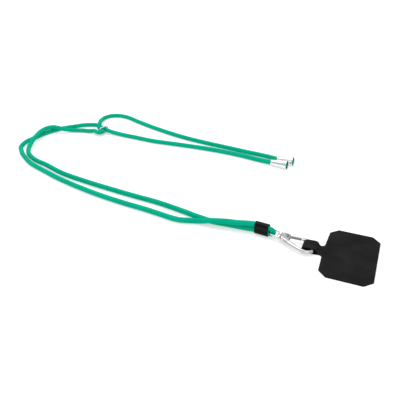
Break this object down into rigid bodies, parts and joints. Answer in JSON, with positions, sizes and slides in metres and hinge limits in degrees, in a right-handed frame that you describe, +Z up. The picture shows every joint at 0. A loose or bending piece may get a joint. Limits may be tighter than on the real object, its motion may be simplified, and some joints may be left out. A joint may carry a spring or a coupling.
{
  "type": "phone lanyard",
  "caption": "Doubled round cord lanyard with slide ring, metal cord ends, crimp sleeve, swivel snap hook and a flat chamfered fabric patch on a strap loop.",
  "frame": {"origin": "middle of the patch's underside, on the surface the lanyard lies on", "axes": "+Z up out of the surface, +X from the neck out over the patch, away from the hook, +Y to the left of that"},
  "size_m": [0.4079, 0.2294, 0.0118],
  "materials": {
    "cord": "round braided polyester cord, matt",
    "polished_metal": "bright nickel plate",
    "spring_steel": "drawn wire",
    "sleeve": "black gloss",
    "patch_fabric": "fine black woven sheet, matt"
  },
  "bodies": {
    "cord_set": {"cord": "cord", "end_knot_front": "cord", "end_knot_back": "cord", "end_ferrule_front": "polished_metal", "end_ferrule_back": "polished_metal", "crimp_sleeve": "sleeve"},
    "ring": {"slide_ring": "polished_metal"},
    "eye": {"swivel_eye": "polished_metal"},
    "hook": {"hook_body": "polished_metal", "swivel_post": "polished_metal", "gate_pin": "polished_metal", "gate_spring": "spring_steel", "strap_loop": "patch_fabric"},
    "gate": {"gate": "polished_metal"},
    "patch": {"patch_face": "patch_fabric", "patch_back": "patch_fabric"}
  },
  "joints": [
    {"name": "ring_slide", "type": "slide", "parent": "cord_set", "child": "ring", "axis": [0.9063, -0.4226, 0], "range_m": [-0.0018, 0]},
    {"name": "eye_turn", "type": "hinge", "parent": "cord_set", "child": "eye", "pos_m": [-0.0641, 0.00262, 0.0053], "axis": [0, 0, 1], "range_deg": [-28, 28]},
    {"name": "hook_swivel", "type": "hinge", "parent": "eye", "child": "hook", "pos_m": [-0.06326, 0.00246, 0.00525], "axis": [0.9796, -0.1904, -0.0645], "continuous": true},
    {"name": "gate_turn", "type": "hinge", "parent": "hook", "child": "gate", "pos_m": [-0.05223, 0.00062, 0.00453], "axis": [-0.0633, 0.0123, -0.9979], "range_deg": [0, 28], "stiffness_Nm_per_rad": 0.004, "springref_deg": -22.92},
    {"name": "neck_bend", "type": "hinge", "parent": "hook", "child": "patch", "pos_m": [-0.024, 0, 0.00063], "axis": [0, -1, 0], "range_deg": [-70, 70]}
  ]
}
